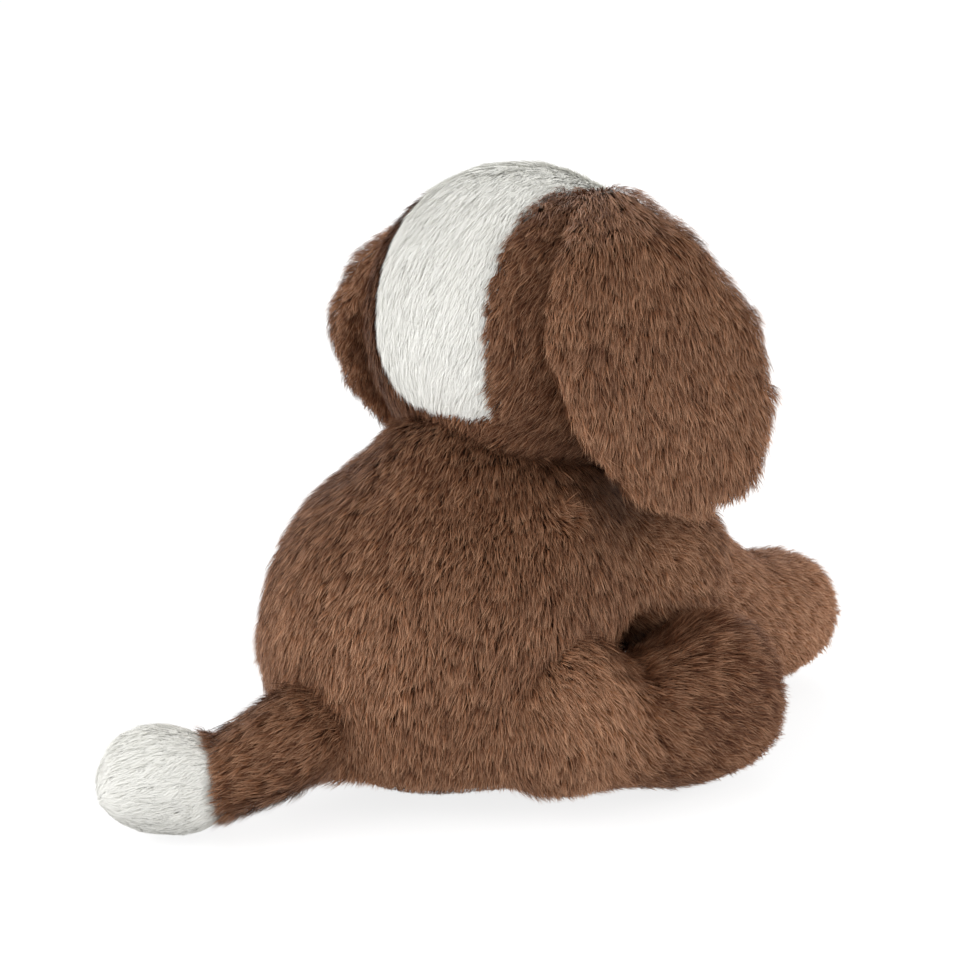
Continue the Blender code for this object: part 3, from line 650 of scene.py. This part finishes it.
over_hips = [((turn * 0.045, 0.010, 0.075), (turn * 0.066, 0.012, 0.038), 0.026) for turn in (-1, 1)]
tuft = ((-0.030, 0.040, 0.085), (-0.045, -0.005, 0.101), 0.005)
comb(trunk_bag, (0, -0.03, 0.135), droop=0.25, patches=[*over_hips, tuft])
trunk_points = cloth_points(trunk_bag)[0]
# Painted light and shade on the trunk's pile: a painted sheen at the hips, shoulders, rump and low sides,
# and painted shade on the nape.
painted_hip_sheen = 0.45 * near(trunk_points, (0.070, 0.012, 0.036), reach=0.024)
painted_shoulder_sheen = 0.35 * near(trunk_points, (0.058, -0.050, 0.085), reach=0.030)
painted_nape_shade = 0.2 * near(trunk_points, (0, -0.01, 0.12), reach=0.04)
painted_low_sheen = 0.4 * at_floor(trunk_points, height=0.05)
painted_rump_highlight = 0.55 * near(trunk_points, (0.014, 0.058, 0.065), reach=0.022)
bloom(trunk_bag, 0.34 + painted_hip_sheen + painted_shoulder_sheen - painted_nape_shade + painted_low_sheen + painted_rump_highlight)

# The pile is left off where the neck, tail and legs sit, and at the bottom of the hollow behind each
# foreleg, where the dark backing shows as painted shade.
bare_spots = [(neck_ball, 0.044), (tail_ball, 0.010)]
for shoulder, hip in zip(shoulder_balls, hip_balls):
    bare_spots.append((Vector(shoulder) + Vector((0, -0.022, -0.012)), 0.015))
    bare_spots.append(((math.copysign(0.040, shoulder[0]), -0.033, 0.047), 0.011))
    bare_spots.append((Vector(hip) + Vector((0, -0.020, -0.008)), 0.008))
shown_trunk = [clear_of_ball(trunk_points, place, radius) for place, radius in bare_spots]
above_seat = trunk_points[:, 2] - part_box("seat_panel")[1].z
cut_panel(trunk_bag, "left_panel", trunk_points[:, 0], above_seat, *shown_trunk)
cut_panel(trunk_bag, "right_panel", -trunk_points[:, 0], above_seat, *shown_trunk)
cut_panel(trunk_bag, "seat_panel", -above_seat, *shown_trunk)
back_pile = {"Strands per m2": 3.9e6, "Width": 0.00027}
seat_pile = {"Strands per m2": 1.0e6, "Length": 0.005}
grow_pile("back_pile_left", trunk_bag, "left_panel", brown_pile, "trunk", "brown_plush", 1, **back_pile)
grow_pile("back_pile_right", trunk_bag, "right_panel", brown_pile, "trunk", "brown_plush", 2, **back_pile)
grow_pile("seat_pile", trunk_bag, "seat_panel", brown_pile, "trunk", "dark_plush", 3, **seat_pile)


# Hind legs: one stuffed bag each, sewn on at the hip, with a full thigh and a foot that points forward.
# A fold parts the thigh from the foot and starts in a dark hollow behind the foreleg.
# The same brown pile runs from the hip to the foot.
under_next = 0.005
thigh_fold = (
    ((0.060, -0.020, 0.056), 0.010, 0.008),
    ((0.072, -0.013, 0.050), 0.009, 0.006),
    ((0.081, -0.009, 0.042), 0.008, 0.004),
    ((0.068, -0.027, 0.053), 0.010, 0.006),
)
hindleg_seeds = {"left": 4, "right": 5}
for side, hip in zip(sides, hip_balls):
    leg_nodes = (f"{side}_hindleg_cover", f"{side}_hindleg_stuffing")
    leg_bag = sewn_bag(f"{side}_hindleg_bag", joined_solids(*leg_nodes), brown_backing,
                       grain=0.004, pile_height=0.0005, swell=0.003)
    leg_points = cloth_points(leg_bag)[0]
    behind_knee = np.clip(leg_points[:, 1] / 0.02 + 1.2, 0, 1)
    drawn_rear = 0.006 * at_floor(leg_points, height=0.03) * behind_knee
    full_thigh = 0.011 * near(leg_points, (0.061, 0.004, 0.050), reach=0.014)
    fill_out(leg_bag, full_thigh - np.maximum(crease(leg_points, thigh_fold), drawn_rear))
    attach(leg_bag, f"{side}_hindleg")
    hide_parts(*leg_nodes)
    comb(leg_bag, (hip[0] * 0.85, hip[1], hip[2] + 0.022), droop=0.1)
    leg_points = cloth_points(leg_bag)[0]
    # A painted sheen on the thigh and low along the floor.
    painted_thigh_sheen = 1.1 * near(leg_points, (0.067, 0.008, 0.046), reach=0.024)
    bloom(leg_bag, 0.06 + painted_thigh_sheen + 0.4 * at_floor(leg_points, height=0.03))
    # The pile is left off in the hollow behind the foreleg, so the dark backing shows there as painted
    # shade.
    hollow = (math.copysign(0.054, hip[0]), -0.027, 0.054)
    cut_panel(leg_bag, "leg_panel", clear_of_bag(leg_points, trunk_bag) + under_next,
              clear_of_ball(leg_points, hollow, radius=0.010))
    grow_pile(f"{side}_hindleg_pile", leg_bag, "leg_panel", brown_pile, f"{side}_hindleg", "brown_plush",
              hindleg_seeds[side])


# Forelegs: one stuffed bag each, sewn on at the shoulder and lying forward on the floor, with a plump paw.
# The same brown pile runs from the shoulder to the paw.
paw_start = -0.105
paw_easing = 0.03
paw_stretch = (1, 1, 1.17)
paw_shift = np.array((0, 0.004, -0.0005))
painted_paw_sheen_start = -0.07
foreleg_seeds = {"left": 6, "right": 7}
for side, shoulder in zip(sides, shoulder_balls):
    leg_nodes = (f"{side}_foreleg_cover", f"{side}_foreleg_stuffing")
    leg_bag = sewn_bag(f"{side}_foreleg_bag", joined_solids(*leg_nodes), brown_backing,
                       grain=0.004, pile_height=0.002, swell=0.003)
    tuck_under(leg_bag, height=0.020, reach=0.004)
    leg_points = cloth_points(leg_bag)[0]
    paw = np.clip((paw_start - leg_points[:, 1:2]) / paw_easing, 0, 1)
    plumper = leg_points * paw_stretch + paw_shift
    move_cloth(leg_bag, leg_points * (1 - paw) + plumper * paw)
    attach(leg_bag, f"{side}_foreleg")
    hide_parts(*leg_nodes)
    comb(leg_bag, (shoulder[0] * 0.7, shoulder[1] + 0.03, shoulder[2] + 0.02), droop=0.1)
    leg_points = cloth_points(leg_bag)[0]
    # A painted sheen on the paw, rising towards its front.
    bloom(leg_bag, 0.65 + np.clip(painted_paw_sheen_start - leg_points[:, 1], 0, 1) * 7)
    cut_panel(leg_bag, "leg_panel", clear_of_bag(leg_points, trunk_bag) + under_next)
    grow_pile(f"{side}_foreleg_pile", leg_bag, "leg_panel", brown_pile, f"{side}_foreleg", "brown_plush",
              foreleg_seeds[side])


# Tail: a stuffed brown sleeve with a white tip sewn on half-way, sewn to the seat's back edge.
# It is narrow at the white seam and fuller at the tip. The pile runs from the root to the tip.
white_backing = backing_cloth("white_backing", (0.96, 0.955, 0.94))
white_pile = pile_finish(
    "white_pile", root=(0.985, 0.978, 0.925), middle=(0.99, 0.985, 0.94), tip=(0.992, 0.988, 0.956),
    darkest=(0.99, 0.99, 0.985))
tail_nodes = ("tail_sleeve", "tail_tip", "tail_stuffing")
tail_bag = sewn_bag("tail_bag", joined_solids(*tail_nodes), brown_backing,
                    grain=0.004, pile_height=0.0005, swell=0.002)
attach(tail_bag, "tail")
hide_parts(*tail_nodes)

tip_corners = [vertex.co for vertex in frame["nodes"]["tail_tip"].data.vertices]
tip_end = max(tip_corners, key=lambda corner: (corner - Vector(tail_ball)).length)
tail_way = (tip_end - Vector(tail_ball)).normalized()
tip_seam = min(corner.dot(tail_way) for corner in tip_corners)
tail_points, tail_outward = cloth_points(tail_bag)
along_tail = (tail_points - np.array(tail_ball)) @ np.array(tail_way)
past_seam = tail_points @ np.array(tail_way) - tip_seam
at_root = np.clip(1 - along_tail / 0.04, 0, 1)
faces_up = tail_outward[:, 2]
fuller_tip = np.clip(past_seam * 0.1, 0, 0.002)
narrow_seam = 0.003 * np.exp(-(past_seam / 0.010) ** 2) * np.clip(0.5 + faces_up * 0.7, 0, 1)
slim_root = 0.004 * at_root * np.clip(-faces_up, 0, 1)
fill_out(tail_bag, 0.001 + faces_up * 0.001 + fuller_tip - narrow_seam - slim_root)
tail_points = cloth_points(tail_bag)[0]
tail_points -= np.clip(along_tail / 0.05, 0, 1)[:, None] * np.array(tail_way) * 0.003
tail_points[:, 2] += 0.0015 * at_root
move_cloth(tail_bag, tail_points)

past_seam += 0.22 * (tail_points[:, 2] - 0.045)
comb(tail_bag, (tail_ball[0] - 0.015, tail_ball[1] - 0.07, tail_ball[2] + 0.016))
bloom(tail_bag, 0.4)
tail_points = cloth_points(tail_bag)[0]
cut_panel(tail_bag, "sleeve_panel", -past_seam, clear_of_bag(tail_points, trunk_bag) + under_next)
cut_panel(tail_bag, "tip_panel", past_seam)
line_panel(tail_bag, "tip_panel", white_backing)
tip_pile = {
    "Strands per m2": 1.0e7, "Length": 0.006, "Width": 0.00026,
    "Lean": 0.8, "Stand": 0.3, "Draw": 0.08, "Stray": 0.2,
}
grow_pile("tail_sleeve_pile", tail_bag, "sleeve_panel", brown_pile, "tail", "brown_plush", 8)
grow_pile("tail_tip_pile", tail_bag, "tip_panel", white_pile, "tail", "white_plush", 9, **tip_pile)


# Head: a round stuffed bag with a white gusset from the muzzle over the crown to the nape, a brown panel on
# each side and a brown chin. The pile runs back from the nose and falls down the sides and the nape.
head_nodes = ("head_stuffing", "head_blaze", "head_chin", "head_side_left", "head_side_right")
head_bag = sewn_bag("head_bag", joined_solids(*head_nodes[1:]), brown_backing,
                    grain=0.005, pile_height=0.000, swell=0.003)
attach(head_bag, "head")
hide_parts(*head_nodes)
head_points, head_outward = cloth_points(head_bag)
behind = np.clip((head_points[:, 1] - neck_ball[1] + 0.02) / 0.03, 0, 1)
fill_out(head_bag, 0.0035 * behind + 0.001 * np.clip(head_outward[:, 2], 0, 1))
comb(head_bag, (0, neck_ball[1] - 0.066, neck_ball[2] - 0.004), droop=0.7)
# Painted shade on the back of the head.
bloom(head_bag, 0.5 - 0.4 * behind)

head_points = cloth_points(head_bag)[0]
blaze_low, blaze_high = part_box("head_blaze")
blaze_end = 0.1335
crown = np.clip((head_points[:, 2] - neck_ball[2]) / 0.045, 0, 1)
nape = np.clip((neck_ball[2] - 0.004 - head_points[:, 2]) / 0.02, 0, 1)
left_seam = blaze_high.x + behind * (0.006 + 0.006 * crown - 0.024 * nape)
right_seam = blaze_low.x + behind * (0.006 * crown - 0.003)
in_blaze = np.minimum.reduce([
    left_seam - head_points[:, 0],
    head_points[:, 0] - right_seam,
    head_points[:, 2] - blaze_end + 0.1 * (1 - behind),
])
above_chin = head_points[:, 2] - blaze_low.z
muzzle_middle = Vector(neck_ball) + Vector((0, -0.045, -0.014))
shown_head = [
    clear_of_bag(head_points, trunk_bag) + under_next,
    clear_of_ball(head_points, muzzle_middle, radius=0.019),
]
for side in sides:
    eye_low, eye_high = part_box(f"{side}_eye")
    shown_head.append(clear_of_ball(head_points, (eye_low + eye_high) / 2, radius=0.0085))
cut_panel(head_bag, "blaze_panel", in_blaze, above_chin, *shown_head)
cut_panel(head_bag, "chin_panel", in_blaze, -above_chin, *shown_head)
cut_panel(head_bag, "left_side_panel", head_points[:, 0], -in_blaze, *shown_head)
cut_panel(head_bag, "right_side_panel", -head_points[:, 0], -in_blaze, *shown_head)
line_panel(head_bag, "blaze_panel", white_backing)
blaze_pile = {"Strands per m2": 1.0e7, "Stand": 0.28, "Draw": 0.08, "Ruffle": 0.2, "Stray": 0.2}
grow_pile("blaze_pile", head_bag, "blaze_panel", white_pile, "head", "white_plush", 10, **blaze_pile)
grow_pile("chin_pile", head_bag, "chin_panel", brown_pile, "head", "brown_plush", 11)
grow_pile("head_side_pile_left", head_bag, "left_side_panel", brown_pile, "head", "brown_plush", 12)
grow_pile("head_side_pile_right", head_bag, "right_side_panel", brown_pile, "head", "brown_plush", 13)


# Muzzle: a small stuffed white bag sewn to the front of the head, with short pile.
# The pile runs back from the nose to the cheeks, and is trimmed away along the mouth.
mouth_trim = 0.0035
muzzle_overlap = 0.003
muzzle_nodes = ("muzzle_cover", "muzzle_stuffing")
muzzle_bag = sewn_bag("muzzle_bag", joined_solids(*muzzle_nodes), white_backing,
                      grain=0.003, pile_height=0.001, swell=0.001)
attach(muzzle_bag, "head")
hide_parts(*muzzle_nodes)
comb(muzzle_bag, muzzle_middle + Vector((0, -0.028, 0.010)), droop=0.1)
bloom(muzzle_bag, 0.5)
muzzle_points = cloth_points(muzzle_bag)[0]
mouth_line = surface_of(frame["nodes"]["mouth_thread"])
from_mouth = np.array([mouth_line.find_nearest(Vector(point))[3] for point in muzzle_points])
cut_panel(muzzle_bag, "muzzle_panel", clear_of_bag(muzzle_points, head_bag) + muzzle_overlap,
          from_mouth - mouth_trim)
muzzle_pile = {"Strands per m2": 3.0e6, "Length": 0.0045, "Width": 0.0004}
grow_pile("muzzle_pile", muzzle_bag, "muzzle_panel", white_pile, "head", "white_plush", 14, **muzzle_pile)


# Ears: two flat flaps each, an outside and a lining, sewn to the sides of the crown along their top edge.
# The left one hangs longer. The right one is a little shorter and hangs forward and outward.
# Brown pile on both flaps, which hangs from the seam to the tip, with a painted sheen towards the tip and at
# the rim.
ear_stretch = {"left": 0.19, "right": -0.045}
ear_shift = {"left": (-0.0008, -0.0007, -0.002), "right": (0, 0, 0.001)}
ear_swing = {"left": (0, 0, 0), "right": (-0.0022, -0.0025, 0)}
flap_depth = 0.01
outside_seeds = {"left": 15, "right": 16}
lining_seeds = {"left": 17, "right": 18}
for side in sides:
    lift = hinge(f"{side}_ear_lift")
    away = Vector(lift["axis"]).cross(Vector((0, 0, -1)))
    ear_nodes = (f"{side}_ear_outer", f"{side}_ear_lining")
    ear_bag = sewn_bag(f"{side}_ear_flap", joined_solids(*ear_nodes), brown_backing,
                       grain=0.0025, pile_height=-0.0015, swell=0.001)
    ear_points = cloth_points(ear_bag)[0]
    from_seam = ear_points - np.array(lift["pos_m"])
    ear_way = from_seam[np.linalg.norm(from_seam, axis=1).argmax()]
    hung = np.clip(from_seam @ ear_way / (ear_way @ ear_way), 0, 1)[:, None]
    ear_points += ear_way * hung ** 2 * ear_stretch[side]
    ear_points += np.array(ear_shift[side])
    ear_points += np.array(ear_swing[side]) * hung
    move_cloth(ear_bag, ear_points)
    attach(ear_bag, f"{side}_ear")
    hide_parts(*ear_nodes)
    ear_low, ear_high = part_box(ear_nodes[0])
    comb(ear_bag, Vector(lift["pos_m"]).lerp((ear_low + ear_high) / 2, -0.3))
    ear_outward = cloth_points(ear_bag)[1]
    faces_away = ear_outward @ np.array(away) * flap_depth
    # A painted sheen towards the tip of each flap and at its rim.
    bloom(ear_bag, 0.2 + 0.4 * hung[:, 0] + 0.5 * (1 - np.abs(faces_away) / flap_depth))
    cut_panel(ear_bag, "outer_panel", faces_away)
    cut_panel(ear_bag, "lining_panel", -faces_away)
    grow_pile(f"{side}_ear_pile", ear_bag, "outer_panel", brown_pile, f"{side}_ear", "brown_plush",
              outside_seeds[side])
    grow_pile(f"{side}_ear_lining_pile", ear_bag, "lining_panel", brown_pile, f"{side}_ear", "dark_plush",
              lining_seeds[side], Length=0.006)
bpy.data.objects.remove(strand)


# Eyes and nose: polished black safety buttons, moulded with a shank that goes through the cloth.
# A lock washer behind the cloth holds each one.
def moulded_plastic(name, colour, low_gloss, high_gloss, coat):
    """Moulded plastic with the faint uneven polish of a tumbled part."""
    plastic = bpy.data.materials.new(name)
    plastic.use_nodes = True
    tree = plastic.node_tree
    shader = tree.nodes["Principled BSDF"]
    shader.inputs["Coat Weight"].default_value = coat
    shader.inputs["Coat Roughness"].default_value = 0.04
    shader.inputs["Specular IOR Level"].default_value = 0.35
    place = tree.nodes.new("ShaderNodeTexCoord")
    polish = tree.nodes.new("ShaderNodeTexNoise")
    polish.inputs["Scale"].default_value = 420
    polish.inputs["Detail"].default_value = 4
    gloss = tree.nodes.new("ShaderNodeMapRange")
    gloss.inputs["To Min"].default_value = low_gloss
    gloss.inputs["To Max"].default_value = high_gloss
    tint = tree.nodes.new("ShaderNodeValToRGB")
    tint.color_ramp.elements[0].color = (*[shade * 0.8 for shade in colour], 1)
    tint.color_ramp.elements[1].color = (*colour, 1)
    relief = tree.nodes.new("ShaderNodeBump")
    relief.inputs["Strength"].default_value = 0.05
    relief.inputs["Distance"].default_value = 0.0002
    tree.links.new(place.outputs["Object"], polish.inputs["Vector"])
    tree.links.new(polish.outputs["Fac"], gloss.inputs["Value"])
    tree.links.new(gloss.outputs["Result"], shader.inputs["Roughness"])
    tree.links.new(polish.outputs["Fac"], tint.inputs["Fac"])
    tree.links.new(tint.outputs["Color"], shader.inputs["Base Color"])
    tree.links.new(polish.outputs["Fac"], relief.inputs["Height"])
    tree.links.new(relief.outputs["Normal"], shader.inputs["Normal"])
    return plastic


def safety_button(name, seat, way, radius, dome, lobes):
    """A domed button with a rolled rim and a shank, seated on the cloth; lobes make it a soft triangle."""
    rim = 0.0008
    shank = 0.004
    shank_radius = 0.002
    dome_steps = 12
    around = 40
    profile = []
    for step in range(dome_steps + 1):
        turn = math.pi / 2 * step / dome_steps
        profile.append((radius * math.sin(turn), rim + (dome - rim) * math.cos(turn)))
    profile += [(radius - 0.0001, rim / 2), (radius - 0.0007, 0)]
    profile += [(shank_radius, 0), (shank_radius, -shank), (0, -shank)]
    stand = way.to_track_quat("Z", "Y")
    rings = []
    button = bmesh.new()
    for out, up in profile:
        ring = []
        for step in range(around):
            turn = 2 * math.pi * step / around
            wide = out * (1 + lobes * math.cos(3 * (turn - math.pi / 2)) * (out / radius) ** 2)
            corner = Vector((wide * math.cos(turn), wide * math.sin(turn), up))
            ring.append(button.verts.new(seat + stand @ corner))
        rings.append(ring)
    for upper_ring, lower_ring in zip(rings, rings[1:]):
        for step in range(around):
            following = (step + 1) % around
            button.faces.new((
                upper_ring[step], lower_ring[step], lower_ring[following], upper_ring[following]))
    bmesh.ops.remove_doubles(button, verts=button.verts, dist=1e-6)
    bmesh.ops.recalc_face_normals(button, faces=button.faces)
    mesh = bpy.data.meshes.new(name)
    button.to_mesh(mesh)
    button.free()
    mesh.materials.append(black_polish)
    mesh.shade_smooth()
    piece = bpy.data.objects.new(name, mesh)
    scene.collection.objects.link(piece)
    return piece


black_polish = moulded_plastic("black_polish", (0.010, 0.008, 0.007), 0.06, 0.14, coat=0.2)
eye_turn = math.radians(36)
eye_rise = math.radians(14)
eye_seat = 0.0508
for side, turned in (("left", 1), ("right", -1)):
    look = Vector((
        turned * math.sin(eye_turn) * math.cos(eye_rise),
        -math.cos(eye_turn) * math.cos(eye_rise),
        math.sin(eye_rise),
    ))
    eye = safety_button(f"{side}_eye_button", Vector(neck_ball) + look * eye_seat, look,
                        radius=0.0065, dome=0.0045, lobes=0)
    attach(eye, "head")
    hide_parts(f"{side}_eye")
nose_rise = math.radians(24)
nose_seat = 0.0226
point_nose = Vector((0, -math.cos(nose_rise), math.sin(nose_rise)))
nose = safety_button("nose_button", muzzle_middle + point_nose * nose_seat, point_nose,
                     radius=0.009, dome=0.006, lobes=0.10)
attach(nose, "head")
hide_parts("nose")
washer_plastic = moulded_plastic("washer_plastic", (0.80, 0.78, 0.74), 0.45, 0.6, coat=0)
for washer in ("left_eye_washer", "right_eye_washer", "nose_washer"):
    frame["nodes"][washer].data.materials.clear()
    frame["nodes"][washer].data.materials.append(washer_plastic)


# Mouth: one line of black embroidery thread, stitched from corner to corner under the nose.
# The thread is twisted from three plies and lies on the muzzle's cloth.
thread = bpy.data.materials.new("black_thread")
thread.use_nodes = True
thread_shader = thread.node_tree.nodes["Principled BSDF"]
thread_shader.inputs["Roughness"].default_value = 0.7
thread_place = thread.node_tree.nodes.new("ShaderNodeTexCoord")
thread_fibres = thread.node_tree.nodes.new("ShaderNodeTexNoise")
thread_fibres.inputs["Scale"].default_value = 900
thread_dye = thread.node_tree.nodes.new("ShaderNodeValToRGB")
thread_dye.color_ramp.elements[0].color = (0.008, 0.007, 0.006, 1)
thread_dye.color_ramp.elements[1].color = (0.03, 0.026, 0.023, 1)
thread.node_tree.links.new(thread_place.outputs["Object"], thread_fibres.inputs["Vector"])
thread.node_tree.links.new(thread_fibres.outputs["Fac"], thread_dye.inputs["Fac"])
thread.node_tree.links.new(thread_dye.outputs["Color"], thread_shader.inputs["Base Color"])

muzzle_width = 0.025
muzzle_length = 0.022
muzzle_height = 0.021
mouth_reach = 0.010
above_cloth = 0.0008
ply_count = 3
ply_radius = 0.00042
twist_radius = 0.0004
half_steps = 36
steps_in_twist = 9
plies = bpy.data.curves.new("mouth_stitch", "CURVE")
plies.dimensions = "3D"
plies.bevel_depth = ply_radius
plies.bevel_resolution = 2
plies.use_fill_caps = True
for ply in range(ply_count):
    line = plies.splines.new("POLY")
    line.points.add(2 * half_steps)
    for step, point in enumerate(line.points):
        across = step / half_steps - 1
        sideways = across * mouth_reach / muzzle_width
        drop = 0.30 + 0.22 * math.sin(math.pi * abs(across))
        forward = math.sqrt(1 - sideways**2 - drop**2)
        on_cloth = Vector((sideways * muzzle_width, -forward * muzzle_length, -drop * muzzle_height))
        slope = Vector((sideways / muzzle_width, -forward / muzzle_length, -drop / muzzle_height))
        outward = slope.normalized()
        twist = 2 * math.pi * (step / steps_in_twist + ply / ply_count)
        upright = outward.cross(Vector((1, 0, 0))).normalized()
        spot = muzzle_middle + on_cloth + outward * above_cloth
        spot += (outward * math.cos(twist) + upright * math.sin(twist)) * twist_radius
        point.co = (*spot, 1)
stitch = bpy.data.objects.new("mouth_stitch", plies)
scene.collection.objects.link(stitch)
plies.materials.append(thread)
mouth_mesh = bpy.data.meshes.new_from_object(stitch.evaluated_get(bpy.context.evaluated_depsgraph_get()))
bpy.data.objects.remove(stitch)
mouth = bpy.data.objects.new("mouth_stitch", mouth_mesh)
scene.collection.objects.link(mouth)
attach(mouth, "head")
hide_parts("mouth_thread")
